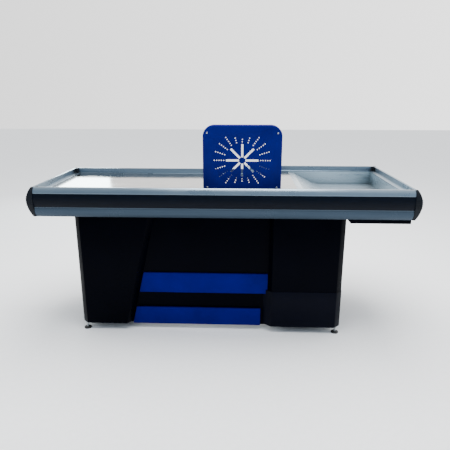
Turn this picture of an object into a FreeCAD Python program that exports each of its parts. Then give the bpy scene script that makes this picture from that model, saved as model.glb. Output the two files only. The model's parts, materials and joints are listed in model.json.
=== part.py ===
import FreeCAD, Part
import math
import os
import Sketcher

# Checkout counter, millimetres. +X runs along the counter, -Y faces the customer,
# +Z is up. The origin lies on the floor under the middle of the overall box.

DIMENSIONS = [
    ("top_length", 2066, "overall length over the bumper"),
    ("top_depth", 855, "overall depth of the packing end"),
    ("cashier_recess", 145, "how much shallower the scanning end is"),
    ("step_place", 120, "where along X the back edge steps"),
    ("crest_height", 860, "top of the aluminium edge"),
    ("rail_height", 160, "height of the aluminium edge"),
    ("rail_depth", 67, "overall box to the inner edge of the ledge"),
    ("lip_reach", 37, "overall box to the inside of the raised lip"),
    ("flange_reach", 60, "overall box to the inner edge of the bottom flange"),
    ("crest_inset", 25, "overall box to the crest"),
    ("rail_inset", 4, "overall box to the widest aluminium"),
    ("rail_wall", 3, "aluminium wall"),
    ("strip_top", 828, "top of the black bumper strip"),
    ("strip_foot", 755, "foot of the black bumper strip"),
    ("strip_inset", 1.5, "overall box to the strip's crown"),
    ("strip_groove", 5, "depth of the strip's groove"),
    ("cap_reach", 34, "how far a corner cap reaches along each side"),
    ("deck_height", 828, "working surface"),
    ("deck_sheet", 1.5, "stainless sheet"),
    ("basin_start", 414, "where the ramp leaves the deck"),
    ("basin_floor_start", 613, "where the ramp meets the basin floor"),
    ("basin_end", 968, "outer end wall of the basin"),
    ("basin_floor", 747, "top of the basin floor"),
    ("basin_margin", 66, "overall box to the basin's side walls"),
    ("ramp_bend", 80, "bend radius at both ends of the ramp"),
    ("ramp_turn", 28.3, "slope of the ramp in degrees"),
    ("tray_bottom", 678, "underside of the packing end"),
    ("tray_reach", 995, "outer end of the under tray"),
    ("tray_margin", 28, "overall box to the under tray"),
    ("cabinet_left", -822, "outer face of the left pedestal"),
    ("cabinet_right", 678, "outer face of the right pedestal"),
    ("leg_setback", 80, "overall box to the pedestals' faces"),
    ("leg_top", 706, "top of the pedestals"),
    ("leg_bottom", 40, "lower edge of the pedestals"),
    ("leg_bevel", 32, "bevel of the outer front corners"),
    ("recess", 40, "how far the centre panel sits back"),
    ("sheet", 1.5, "painted steel sheet"),
    ("left_front_low", -557, "inner edge of the left face at its foot"),
    ("left_front_high", -402, "inner edge of the left face at its top"),
    ("left_bevel", 30, "width of the left inner bevel"),
    ("right_front", 283, "inner edge of the right face"),
    ("right_bevel", 20, "width of the right inner bevel"),
    ("kick_height", 256, "top of the kick plate"),
    ("kick_bevel", 46, "width of the kick plate's inner bevel"),
    ("kick_gap", 0.5, "kick plate's clearance in front of the cover"),
    ("half_bend", 0.4142, "tangent of half of a 45 degree bend"),
    ("panel_bottom", 32, "lower edge of the centre panel"),
    ("band_depth", 12, "how far a blue band stands forward"),
    ("low_band_bottom", 30, "lower blue band"),
    ("low_band_top", 134, "lower blue band"),
    ("high_band_bottom", 231, "upper blue band"),
    ("high_band_top", 350, "upper blue band"),
    ("band_end_gap", 4, "gap between a band and the pedestals"),
    ("tube", 30, "square frame tube"),
    ("tube_wall", 2, "wall of the frame tube"),
    ("ledge_height", 20, "height of the tubes under the deck"),
    ("frame_margin", 66, "overall box to the lower frame"),
    ("ledge_margin", 20, "overall box to the upper frame"),
    ("screen_centre", 107, "middle of the screen along X"),
    ("screen_width", 420, "screen width"),
    ("screen_foot", 829, "lower edge of the screen"),
    ("screen_top", 1180, "top edge of the screen"),
    ("screen_corner", 62, "corner radius of the screen"),
    ("screen_setback", 112, "overall box to the screen's face"),
    ("screen_flange", 28, "depth of the screen's rim"),
    ("screen_roll", 11, "radius of the screen's rolled rim"),
    ("stay_place", 29, "screen edge to the middle of a stay"),
    ("star_height", 995, "middle of the vent star"),
    ("slot_start", 17, "inner end of a star slot"),
    ("slot_end", 86, "outer end of a star slot"),
    ("slot_width", 11, "width of a star slot"),
    ("hole_start", 98, "first hole of a star row"),
    ("hole_pitch", 12.5, "spacing of the holes in a star row"),
    ("hole_size", 6, "diameter of a star hole"),
    ("star_limit", 120, "half height of the star"),
    ("foot_inset", 24, "cabinet side to the foot's centre"),
    ("foot_setback", 20, "pedestal face to the centre of a front foot"),
    ("plate_front", 9, "how far a foot plate reaches in front of its stem"),
    ("plate_rear", 60, "how far a front foot plate reaches behind its stem"),
    ("plate_inner", 34, "how far a foot plate reaches inwards from its stem"),
    ("plate_sheet", 2.8, "thickness of a foot plate"),
    ("pad_radius", 21, "foot pad"),
    ("pad_height", 11, "foot pad"),
    ("stem_radius", 5, "foot stem"),
    ("stem_top", 92, "upper end of the foot stem"),
    ("nut_across", 17, "lock nut across flats"),
    ("nut_height", 8, "lock nut"),
    ("drawer_width", 410, "cash drawer housing"),
    ("drawer_depth", 400, "cash drawer housing"),
    ("drawer_height", 100, "cash drawer housing"),
    ("drawer_place", -110, "middle of the cash drawer along X"),
    ("drawer_face", 196, "cashier's side face of the cash drawer"),
    ("drawer_drop", 14, "cash drawer housing below the frame"),
    ("door_bottom", 48, "lower edge of the cabinet door"),
    ("door_top", 672, "top edge of the cabinet door"),
    ("pin_radius", 3, "hinge pin"),
    ("knuckle_radius", 6, "hinge knuckle"),
]

# Outer faces of the two ends of the counter.
FRONT = "(-dims.top_depth / 2)"
BACK = "(dims.top_depth / 2)"
CASHIER_BACK = "(dims.top_depth / 2 - dims.cashier_recess)"
LEFT = "(-dims.top_length / 2)"
RIGHT = "(dims.top_length / 2)"
FACE = "(-dims.top_depth / 2 + dims.leg_setback)"
PANEL = "(-dims.top_depth / 2 + dims.leg_setback + dims.recess)"
LEFT_REAR = "(dims.top_depth / 2 - dims.cashier_recess - dims.leg_setback)"
RIGHT_REAR = "(dims.top_depth / 2 - dims.leg_setback)"

BEARERS = ["-900", "-300", "330"]

QUARTER = 90
HALF = 180
STAR_ROWS = 20
STAR_SLOTS = 8
STAR_HOLES = 5

doc = FreeCAD.newDocument("checkout_counter")
sheet = doc.addObject("Spreadsheet::Sheet", "dims")
nodes = []


def fill_sheet():
    for row, (alias, number, note) in enumerate(DIMENSIONS, start=1):
        sheet.set("A%d" % row, note)
        sheet.set("B%d" % row, str(number))
        sheet.setAlias("B%d" % row, alias)
    doc.recompute()


def value(expression):
    return float(sheet.evalExpression(str(expression)))


def keep(obj, label):
    """Names an object as one of the counter's sub-parts."""
    obj.Label = label
    nodes.append(obj)
    return obj


def new_body(name):
    return doc.addObject("PartDesign::Body", name)


def new_sketch(body, name, role, height=None):
    sketch = body.newObject("Sketcher::SketchObject", name)
    for feature in body.Origin.OriginFeatures:
        if feature.Role == role:
            sketch.AttachmentSupport = [(feature, "")]
    sketch.MapMode = "FlatFace"
    if height is not None:
        sketch.setExpression("AttachmentOffset.Base.z", str(height))
    return sketch


def place_point(sketch, item, end, point):
    """Ties one sketch point to the sheet by its two distances from the origin."""
    for kind, expression in zip(("DistanceX", "DistanceY"), point):
        number = value(expression)
        added = sketch.addConstraint(Sketcher.Constraint(kind, -1, 1, item, end, number))
        sketch.setExpression("Constraints[%d]" % added, str(expression))


def arc_through(start, end, radius, turn):
    """Arc from start to end; turn +1 bulges to the right of the way it runs."""
    chord = end.sub(start)
    middle = start.add(end).multiply(0.5)
    rise = math.sqrt(max(radius ** 2 - (chord.Length / 2) ** 2, 0.0))
    side = FreeCAD.Vector(-chord.y, chord.x, 0).normalize()
    centre = middle.add(side.multiply(rise * turn))
    crown = centre.add(middle.sub(centre).normalize().multiply(radius))
    return Part.Arc(start, crown, end)


def outline(sketch, points):
    """Closed outline. A point is (x, y), or (x, y, radius, turn) at the end of an arc."""
    first = sketch.GeometryCount
    count = len(points)
    spots = [FreeCAD.Vector(value(point[0]), value(point[1]), 0) for point in points]
    reversed_arcs = set()
    for index in range(count):
        target = points[(index + 1) % count]
        start = spots[index]
        end = spots[(index + 1) % count]
        if len(target) == 4:
            sketch.addGeometry(arc_through(start, end, value(target[2]), target[3]))
            if target[3] < 0:
                reversed_arcs.add(index)
        else:
            sketch.addGeometry(Part.LineSegment(start, end))
    for index in range(count):
        following = (index + 1) % count
        leaves = 1 if index in reversed_arcs else 2
        enters = 2 if following in reversed_arcs else 1
        sketch.addConstraint(
            Sketcher.Constraint("Coincident", first + index, leaves, first + following, enters))
        begins = 2 if index in reversed_arcs else 1
        place_point(sketch, first + index, begins, points[index][:2])
        target = points[following]
        if len(target) == 4:
            added = sketch.addConstraint(
                Sketcher.Constraint("Radius", first + index, value(target[2])))
            sketch.setExpression("Constraints[%d]" % added, str(target[2]))


def circle(sketch, centre, radius):
    item = sketch.addGeometry(Part.Circle(
        FreeCAD.Vector(value(centre[0]), value(centre[1]), 0), FreeCAD.Vector(0, 0, 1),
        value(radius)))
    place_point(sketch, item, 3, centre)
    added = sketch.addConstraint(Sketcher.Constraint("Radius", item, value(radius)))
    sketch.setExpression("Constraints[%d]" % added, str(radius))


def rectangle(low, high):
    return [(low[0], low[1]), (high[0], low[1]), (high[0], high[1]), (low[0], high[1])]


def pad(body, name, sketch, length):
    feature = body.newObject("PartDesign::Pad", name)
    feature.Profile = sketch
    feature.setExpression("Length", str(length))
    sketch.Visibility = False
    return feature


def pocket_all(body, name, sketch):
    """Cuts a sketch right through the body, both ways."""
    feature = body.newObject("PartDesign::Pocket", name)
    feature.Profile = sketch
    feature.Type = "ThroughAll"
    feature.SideType = "Symmetric"
    sketch.Visibility = False
    return feature


def padded(label, role, start, length, points):
    """Sub-part made by one padded outline."""
    body = new_body(label)
    sketch = new_sketch(body, label + "_outline", role, start)
    outline(sketch, points)
    pad(body, label + "_pad", sketch, length)
    return keep(body, label)


def box(name, low, high):
    """Box between two corners, each a triple of expressions."""
    solid = doc.addObject("Part::Box", name)
    for side, near, far in zip(("Length", "Width", "Height"), low, high):
        solid.setExpression(side, "(%s) - (%s)" % (far, near))
    for axis, near in zip("xyz", low):
        solid.setExpression("Placement.Base." + axis, str(near))
    return solid


def rod(name, radius, length, centre, turn=None):
    """Cylinder from a centre, along Z or turned."""
    solid = doc.addObject("Part::Cylinder", name)
    solid.setExpression("Radius", str(radius))
    solid.setExpression("Height", str(length))
    if turn is not None:
        solid.Placement = FreeCAD.Placement(FreeCAD.Vector(), turn)
    for axis, place in zip("xyz", centre):
        solid.setExpression("Placement.Base." + axis, str(place))
    return solid


def cut(name, base, tool):
    result = doc.addObject("Part::Cut", name)
    result.Base = base
    result.Tool = tool
    return result


def fuse(name, shapes):
    result = doc.addObject("Part::MultiFuse", name)
    result.Shapes = shapes
    return result


def group(label, solids):
    """Identical pieces, kept as one node of separate solids."""
    result = doc.addObject("Part::Compound", label)
    result.Links = solids
    return keep(result, label)


def open_box(name, low, high, wall, openings):
    """Folded sheet box. openings names the faces left open, such as '+z'."""
    shell = box(name + "_outside", low, high)
    inside_low = ["(%s) + %s" % (low[k], wall) for k in range(3)]
    inside_high = ["(%s) - %s" % (high[k], wall) for k in range(3)]
    for face in openings:
        axis = "xyz".index(face[1])
        if face[0] == "-":
            inside_low[axis] = "(%s) - 10" % low[axis]
        else:
            inside_high[axis] = "(%s) + 10" % high[axis]
    return cut(name, shell, box(name + "_inside", inside_low, inside_high))


# ---- aluminium edge, bumper strips and corner caps ----

RAIL_FOOT = "(dims.crest_height - dims.rail_height)"
CROWN_RADIUS = "60"
SIDE_RADIUS = "90"
FLANGE_REACH = "dims.flange_reach"
LEDGE = "(dims.deck_height + 0.2)"
CAP_END = "(dims.cap_reach + 0.2)"


def rail_section():
    """Open aluminium section; x runs inwards from the overall box, y is height."""
    wall = "dims.rail_wall"
    groove = "(dims.rail_inset + dims.strip_groove)"
    return [
        ("dims.rail_depth", LEDGE),
        ("dims.rail_depth", LEDGE + " + " + wall),
        ("dims.lip_reach", LEDGE + " + " + wall),
        ("dims.lip_reach", "dims.crest_height"),
        ("dims.crest_inset", "dims.crest_height"),
        ("dims.rail_inset + 4", "dims.strip_top", CROWN_RADIUS, 1),
        (groove + " + 4", "dims.strip_top"),
        (groove + " + 4", "dims.strip_foot"),
        ("dims.rail_inset + 4", "dims.strip_foot"),
        ("dims.crest_inset", RAIL_FOOT, SIDE_RADIUS, 1),
        (FLANGE_REACH, RAIL_FOOT),
        (FLANGE_REACH, RAIL_FOOT + " + " + wall),
        ("dims.crest_inset + 2", RAIL_FOOT + " + " + wall),
        (groove + " + 1", "dims.strip_foot - " + wall, SIDE_RADIUS, -1),
        (groove + " + 4 + " + wall, "dims.strip_foot - " + wall),
        (groove + " + 4 + " + wall, "dims.strip_top + " + wall),
        (groove + " + 2", "dims.strip_top + " + wall),
        ("dims.crest_inset + 2", "dims.crest_height - " + wall, CROWN_RADIUS, -1),
        ("dims.lip_reach - " + wall, "dims.crest_height - " + wall),
        ("dims.lip_reach - " + wall, LEDGE),
    ]


def strip_section():
    """Crowned black strip that fills the groove of the rail."""
    back = "(dims.rail_inset + dims.strip_groove + 3.9)"
    crown = "((dims.strip_top - dims.strip_foot) ^ 2 / 4 + 36) / 12"
    return [
        (back, "dims.strip_top - 0.2"),
        ("dims.strip_inset + 6", "dims.strip_top - 0.2"),
        ("dims.strip_inset + 6", "dims.strip_foot + 0.2", crown, 1),
        (back, "dims.strip_foot + 0.2"),
    ]


def mitre(body, name, at_end, convex, length):
    """Cuts the end of a rail at 45 degrees.

    At a convex corner the outer part is cut square, where the corner cap begins.
    """
    reach = "(dims.rail_depth + 10)"
    if convex:
        line = [(CAP_END, "-10"), (CAP_END, CAP_END), (reach, reach)]
    else:
        line = [("10", "-10"), ("-" + reach, reach)]
    far = "-%s - 20" % reach
    points = line + [(far, reach), (far, "-10")]
    if at_end:
        points = [("%s - (%s)" % (length, along), across) for along, across in points]
    sketch = new_sketch(body, name + "_sketch", "XY_Plane")
    outline(sketch, points)
    return pocket_all(body, name, sketch)


def edge_piece(label, section, length, corners, origin, turn):
    """Straight length of rail or strip between two corners.

    Its own X runs along the edge and its own +Y points into the counter.
    """
    body = new_body(label)
    reach = "dims.rail_depth"
    sketch = new_sketch(body, label + "_section", "YZ_Plane", "-" + reach)
    outline(sketch, section)
    pad(body, label + "_pad", sketch, "%s + 2 * %s" % (length, reach))
    doc.recompute()
    mitre(body, label + "_start", False, corners[0], length)
    doc.recompute()
    mitre(body, label + "_finish", True, corners[1], length)
    body.Placement = FreeCAD.Placement(
        FreeCAD.Vector(), FreeCAD.Rotation(FreeCAD.Vector(0, 0, 1), turn))
    body.setExpression("Placement.Base.x", origin[0])
    body.setExpression("Placement.Base.y", origin[1])
    return keep(body, label)


EDGES = [
    # name, length, (start convex, end convex), start corner, turn about Z
    ("front", "dims.top_length", (True, True), (LEFT, FRONT), 0),
    ("right_end", "dims.top_depth", (True, True), (RIGHT, FRONT), QUARTER),
    ("back_right", "(dims.top_length / 2 - dims.step_place)", (True, True), (RIGHT, BACK), HALF),
    ("step", "dims.cashier_recess", (True, False), ("dims.step_place", BACK), HALF + QUARTER),
    ("back_left", "(dims.top_length / 2 + dims.step_place)", (False, True),
     ("dims.step_place", CASHIER_BACK), HALF),
    ("left_end", "(dims.top_depth - dims.cashier_recess)", (True, True),
     (LEFT, CASHIER_BACK), HALF + QUARTER),
]


def edges():
    for name, length, corners, origin, turn in EDGES:
        edge_piece(name + "_rail", rail_section(), length, corners, origin, turn)
        edge_piece(name + "_bumper", strip_section(), length, corners, origin, turn)


def cap_profile(name, inset):
    """Plain D-shaped bar along X, the outside of the edge moved in by an inset."""
    body = new_body(name)
    sketch = new_sketch(body, name + "_section", "YZ_Plane", -50)
    top = "dims.crest_height + 0.5 - (%s)" % inset
    foot = RAIL_FOOT + " - 0.5 + (%s)" % inset
    middle = "((dims.strip_top + dims.strip_foot) / 2)"
    edge = "dims.crest_inset - 3 + (%s)" % inset
    swell = "(dims.crest_inset - 3)"
    bends = ["((%s - %s) ^ 2 + %s ^ 2) / (2 * %s)" % (end, middle, swell, swell)
             for end in (top, "(%s)" % foot)]
    outline(sketch, [
        ("dims.cap_reach + 20", foot),
        ("dims.cap_reach + 20", top),
        (edge, top),
        (inset, middle, bends[0], 1),
        (edge, foot, bends[1], 1),
    ])
    pad(body, name + "_pad", sketch, "150")
    return body


def corner_cap(label, corner, turn):
    """Moulded cap over one outer corner: two crossing bars, hollowed."""
    layers = []
    for layer, inset in (("outer", "0"), ("inner", "3")):
        along = cap_profile("%s_%s_along" % (label, layer), inset)
        across = cap_profile("%s_%s_across" % (label, layer), inset)
        across.Placement = FreeCAD.Placement(
            FreeCAD.Vector(), FreeCAD.Rotation(FreeCAD.Vector(0, 0, 1), -QUARTER))
        crossing = doc.addObject("Part::MultiCommon", "%s_%s" % (label, layer))
        crossing.Shapes = [along, across]
        layers.append(crossing)
    shell = cut(label + "_shell", layers[0], layers[1])
    bounds = box(label + "_bounds", ("-1", "-1", "0"),
                 ("dims.cap_reach", "dims.cap_reach", "dims.crest_height + 5"))
    cap = doc.addObject("Part::Common", label)
    cap.Base = shell
    cap.Tool = bounds
    cap.Placement = FreeCAD.Placement(
        FreeCAD.Vector(), FreeCAD.Rotation(FreeCAD.Vector(0, 0, 1), turn))
    cap.setExpression("Placement.Base.x", corner[0])
    cap.setExpression("Placement.Base.y", corner[1])
    return keep(cap, label)


CORNERS = [
    ("front_left", (LEFT, FRONT), 0),
    ("front_right", (RIGHT, FRONT), QUARTER),
    ("back_right", (RIGHT, BACK), HALF),
    ("step", ("dims.step_place", BACK), HALF + QUARTER),
    ("back_left", (LEFT, CASHIER_BACK), HALF + QUARTER),
]



def corner_posts():
    """Short black posts that close the inner corners of the edge."""
    posts = []
    for name, corner, inward in (
            ("front_left", (LEFT, FRONT), (1, 1)), ("front_right", (RIGHT, FRONT), (-1, 1)),
            ("back_right", (RIGHT, BACK), (-1, -1)), ("back_left", (LEFT, CASHIER_BACK), (1, -1))):
        low = []
        high = []
        for place, way in zip(corner, inward):
            near = "%s + %d * (dims.lip_reach + 0.2)" % (place, way)
            far = "%s + %d * (dims.lip_reach + 15.2)" % (place, way)
            low.append(near if way > 0 else far)
            high.append(far if way > 0 else near)
        posts.append(box("corner_post_" + name, low + [LEDGE + " + dims.rail_wall"],
                         high + ["dims.crest_height + 0.5"]))
    group("inner_corner_posts", posts)


# ---- deck, basin and the steel frame under them ----

def steel_deck():
    """Stainless working surface with the cashier's recess cut from its back edge."""
    inside = "dims.lip_reach + 4"
    padded("steel_deck", "XY_Plane", "dims.deck_height - dims.deck_sheet", "dims.deck_sheet", [
        (LEFT + " + " + inside, FRONT + " + " + inside),
        ("dims.basin_start", FRONT + " + " + inside),
        ("dims.basin_start", BACK + " - " + inside),
        ("dims.step_place + " + inside, BACK + " - " + inside),
        ("dims.step_place + " + inside, CASHIER_BACK + " - " + inside),
        (LEFT + " + " + inside, CASHIER_BACK + " - " + inside),
    ])


def ramp(drop, start_shift):
    """The basin's bottom line from its left lip to its end wall, lowered by a drop."""
    run = "dims.ramp_bend * sin(dims.ramp_turn)"
    fall = "dims.ramp_bend * (1 - cos(dims.ramp_turn))"
    lip = "dims.basin_start + 0.3 + %s" % start_shift
    return [
        (lip, "dims.deck_height - " + drop),
        ("%s + %s" % (lip, run), "dims.deck_height - %s - %s" % (drop, fall),
         "dims.ramp_bend", 1),
        ("dims.basin_floor_start - " + run, "dims.basin_floor - %s + %s" % (drop, fall)),
        ("dims.basin_floor_start", "dims.basin_floor - " + drop, "dims.ramp_bend", -1),
    ]


def bagging_basin():
    """Stainless pan with an S-shaped ramp down from the deck."""
    wall = "dims.deck_sheet"
    body = new_body("bagging_basin")
    width = "(dims.top_depth - 2 * dims.basin_margin)"
    outside = new_sketch(body, "basin_outside", "XZ_Plane", "-%s / 2 - %s" % (width, wall))
    outline(outside, ramp(wall, "0") + [
        ("dims.basin_end + " + wall, "dims.basin_floor - " + wall),
        ("dims.basin_end + " + wall, "dims.deck_height - 0.2"),
        ("dims.basin_start + 0.3", "dims.deck_height - 0.2"),
    ])
    pad(body, "basin_block", outside, "%s + 2 * %s" % (width, wall))
    doc.recompute()
    inside = new_sketch(body, "basin_inside", "XZ_Plane", "-%s / 2" % width)
    outline(inside, ramp("0", "0") + [
        ("dims.basin_end", "dims.basin_floor"),
        ("dims.basin_end", "dims.deck_height + 20"),
        ("dims.basin_start + 0.3", "dims.deck_height + 20"),
    ])
    hollow = body.newObject("PartDesign::Pocket", "basin_hollow")
    hollow.Profile = inside
    hollow.Reversed = True
    hollow.setExpression("Length", width)
    keep(body, "bagging_basin")


def under_tray():
    """Shallow black tray closing the overhang under the basin."""
    margin = "dims.tray_margin"
    tray = open_box(
        "basin_under_tray",
        ["dims.cabinet_right + 4", FRONT + " + " + margin, "dims.tray_bottom"],
        ["dims.tray_reach", BACK + " - " + margin, RAIL_FOOT + " - 0.5"],
        "dims.sheet", ["+z"])
    keep(tray, "basin_under_tray")


def tube(name, low, high):
    """Square tube with open ends; its long side decides which way it runs."""
    spans = [value("(%s) - (%s)" % (high[k], low[k])) for k in range(3)]
    axis = spans.index(max(spans))
    wall = "dims.tube_wall"
    inside_low = ["(%s) + %s" % (low[k], wall) for k in range(3)]
    inside_high = ["(%s) - %s" % (high[k], wall) for k in range(3)]
    inside_low[axis] = "(%s) - 1" % low[axis]
    inside_high[axis] = "(%s) + 1" % high[axis]
    return cut(name, box(name + "_outside", low, high),
               box(name + "_inside", inside_low, inside_high))


def top_frame():
    """Welded square tubes: lower ring and cross tubes, posts, and the deck's ledges."""
    size = "dims.tube"
    low_z = "dims.leg_top"
    high_z = low_z + " + " + size
    margin = "dims.frame_margin"
    ends = ["%s + %s" % (LEFT, margin), "%s - %s" % (RIGHT, margin)]
    front_near = "%s + %s" % (FRONT, margin)
    cashier_near = "%s - %s - %s" % (CASHIER_BACK, margin, size)
    back_near = "%s - %s - %s" % (BACK, margin, size)
    step = "dims.step_place + " + margin
    tubes = []
    for name, near, span in (("front", front_near, ends), ("cashier", cashier_near, [ends[0], step]),
                             ("back", back_near, [step, ends[1]])):
        tubes.append(tube("ring_" + name, [span[0], near, low_z],
                          [span[1], "%s + %s" % (near, size), high_z]))
    for name, place, far in (
            ("left", ends[0], cashier_near), ("left_leg", "-620", cashier_near),
            ("drawer_left", "dims.drawer_place - dims.drawer_width / 2 - 15", cashier_near),
            ("drawer_right", "dims.drawer_place + dims.drawer_width / 2 - 15", cashier_near),
            ("right_leg", "480", back_near), ("right", ends[1] + " - " + size, back_near)):
        tubes.append(tube("cross_" + name, [place, "%s + %s" % (front_near, size), low_z],
                          ["%s + %s" % (place, size), far, high_z]))
    ledge = "dims.ledge_margin"
    ledge_high = "dims.deck_height - dims.deck_sheet"
    ledge_low = ledge_high + " - dims.ledge_height"
    ledge_front = "%s + %s" % (FRONT, ledge)
    ledge_cashier = "%s - %s - %s" % (CASHIER_BACK, ledge, size)
    ledge_back = "%s - %s - %s" % (BACK, ledge, size)
    for name, near, span in (
            ("front", ledge_front, ends),
            ("cashier", ledge_cashier, [ends[0], "dims.step_place + 20"]),
            ("back", ledge_back, ["dims.step_place + 60", ends[1]])):
        tubes.append(tube("ledge_" + name, [span[0], near, ledge_low],
                          [span[1], "%s + %s" % (near, size), ledge_high]))
    for place in BEARERS:
        far = "%s + %s" % (place, size)
        tubes.append(tube("bearer_%d" % len(tubes), [place, "%s + %s" % (ledge_front, size), ledge_low],
                          [far, ledge_cashier, ledge_high]))
        for near in (front_near, cashier_near):
            tubes.append(tube("post_%d" % len(tubes), [place, near, high_z],
                              [far, "%s + %s" % (near, size), ledge_low]))
    group("top_frame", tubes)


# ---- screen with its star of vents ----

def star_slot(sketch, turn):
    """Straight slot of the star, a rectangle along a ray from the middle."""
    along = (math.cos(math.radians(turn)), math.sin(math.radians(turn)))
    corners = []
    for reach, side in (("dims.slot_start", -1), ("dims.slot_end", -1),
                        ("dims.slot_end", 1), ("dims.slot_start", 1)):
        half = "%d * dims.slot_width / 2" % side
        corners.append((
            "dims.screen_centre + %s * %.6f - (%s) * %.6f" % (reach, along[0], half, along[1]),
            "dims.star_height + %s * %.6f + (%s) * %.6f" % (reach, along[1], half, along[0])))
    outline(sketch, corners)


def star_row(sketch, turn):
    """Row of round holes along a ray, ending where the star's height ends."""
    across = math.cos(math.radians(turn))
    up = math.sin(math.radians(turn))
    for index in range(STAR_HOLES):
        reach = "(dims.hole_start + %d * dims.hole_pitch)" % index
        if abs(value(reach) * up) > value("dims.star_limit"):
            return
        circle(sketch, ("dims.screen_centre + %s * %.6f" % (reach, across),
                        "dims.star_height + %s * %.6f" % (reach, up)), "dims.hole_size / 2")


def screen_panel():
    """Folded steel screen: flat face, rolled rim, star of slots and holes."""
    body = new_body("screen_panel")
    face = "%s + dims.screen_setback" % FRONT
    left = "dims.screen_centre - dims.screen_width / 2"
    right = "dims.screen_centre + dims.screen_width / 2"
    shoulder = "dims.screen_top - dims.screen_corner"
    outside = new_sketch(body, "screen_outside", "XZ_Plane", "-(%s) - dims.screen_flange" % face)
    outline(outside, [
        (left, "dims.screen_foot"),
        (right, "dims.screen_foot"),
        (right, shoulder),
        (right + " - dims.screen_corner", "dims.screen_top", "dims.screen_corner", 1),
        (left + " + dims.screen_corner", "dims.screen_top"),
        (left, shoulder, "dims.screen_corner", 1),
    ])
    block = pad(body, "screen_block", outside, "dims.screen_flange")
    doc.recompute()
    front = value(face)
    rim = []
    for index, edge in enumerate(block.Shape.Edges, start=1):
        bounds = edge.BoundBox
        flat = abs(bounds.YMin - front) < 0.01 and abs(bounds.YMax - front) < 0.01
        if flat and bounds.ZMax > value("dims.screen_foot") + 1:
            rim.append("Edge%d" % index)
    roll = body.newObject("PartDesign::Fillet", "screen_roll")
    roll.Base = (block, rim)
    roll.setExpression("Radius", "dims.screen_roll")
    doc.recompute()
    open_faces = []
    for index, surface in enumerate(roll.Shape.Faces, start=1):
        bounds = surface.BoundBox
        rear = bounds.YMin > front + value("dims.screen_flange") - 0.01
        foot_face = bounds.ZMax < value("dims.screen_foot") + 0.01
        if rear or foot_face:
            open_faces.append("Face%d" % index)
    shell = body.newObject("PartDesign::Thickness", "screen_shell")
    shell.Base = (roll, open_faces)
    shell.setExpression("Value", "dims.sheet")
    shell.Reversed = True
    doc.recompute()
    star = new_sketch(body, "screen_star", "XZ_Plane")
    for index in range(STAR_SLOTS):
        star_slot(star, index * 2 * HALF / STAR_SLOTS)
    for index in range(STAR_ROWS):
        star_row(star, index * 2 * HALF / STAR_ROWS)
    pocket_all(body, "screen_vents", star)
    keep(body, "screen_panel")


def screen_stays():
    """Two angle stays that stand on the deck and carry the screen."""
    stays = []
    back = "%s + dims.screen_setback" % FRONT
    for name, side in (("left", -1), ("right", 1)):
        middle = "(dims.screen_centre + %d * (dims.screen_width / 2 - dims.stay_place))" % side
        upright = box(
            "stay_upright_" + name,
            ["%s - 11" % middle, "%s + dims.sheet" % back, "dims.deck_height"],
            ["%s + 11" % middle, "%s + dims.sheet + 3" % back, "dims.screen_top - 37"])
        sole = box(
            "stay_sole_" + name,
            ["%s - 11" % middle, "%s + dims.sheet" % back, "dims.deck_height"],
            ["%s + 11" % middle, "%s + dims.sheet + 60" % back, "dims.deck_height + 3"])
        stays.append(fuse("stay_" + name, [upright, sole]))
    group("screen_stays", stays)


def screen_screws():
    """Pan head screws through the screen's upper corners into the stays."""
    screws = []
    face = "%s + dims.screen_setback" % FRONT
    forward = FreeCAD.Rotation(FreeCAD.Vector(1, 0, 0), QUARTER)
    for name, side, height in (
            ("left", -1, "dims.screen_top - 42"), ("right", 1, "dims.screen_top - 42"),
            ("low_left", -1, "dims.screen_foot + 22"), ("low_right", 1, "dims.screen_foot + 22")):
        middle = "dims.screen_centre + %d * (dims.screen_width / 2 - 24)" % side
        screws.append(rod("screw_" + name, "4.5", "3", (middle, face, height), forward))
    group("screen_screws", screws)


# ---- pedestals ----

def leg_plan(side, outer, face_edge, bevel, rear, inset):
    """Plan of a pedestal's folded cover, its outside moved in by an inset.

    side is -1 for the left pedestal and +1 for the right one; its inner side
    faces the middle of the counter.
    """
    miter = "(%s) * dims.half_bend" % inset
    sign = "%d" % side
    wall = "%s - %s * (%s)" % (outer, sign, inset)
    panel = "%s - 0.5" % PANEL
    back = rear if inset == "0" else "%s + 20" % rear
    far_edge = "%s - %s * %s" % (face_edge, sign, bevel)
    if inset == "0":
        return [
            (wall, back),
            (wall, "%s + dims.leg_bevel" % FACE),
            ("%s - %s * dims.leg_bevel" % (outer, sign), FACE),
            (face_edge, FACE),
            (far_edge, panel),
            (far_edge, back),
        ]
    return [
        (wall, back),
        (wall, "%s + dims.leg_bevel + %s" % (FACE, miter)),
        ("%s - %s * (dims.leg_bevel + %s)" % (outer, sign, miter), "%s + (%s)" % (FACE, inset)),
        ("%s + %s * %s" % (face_edge, sign, miter), "%s + (%s)" % (FACE, inset)),
        ("%s + %s * (%s) * 1.4" % (far_edge, sign, inset), "%s + 0.5" % panel),
        ("%s + %s * (%s) * 1.4" % (far_edge, sign, inset), back),
    ]


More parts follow.
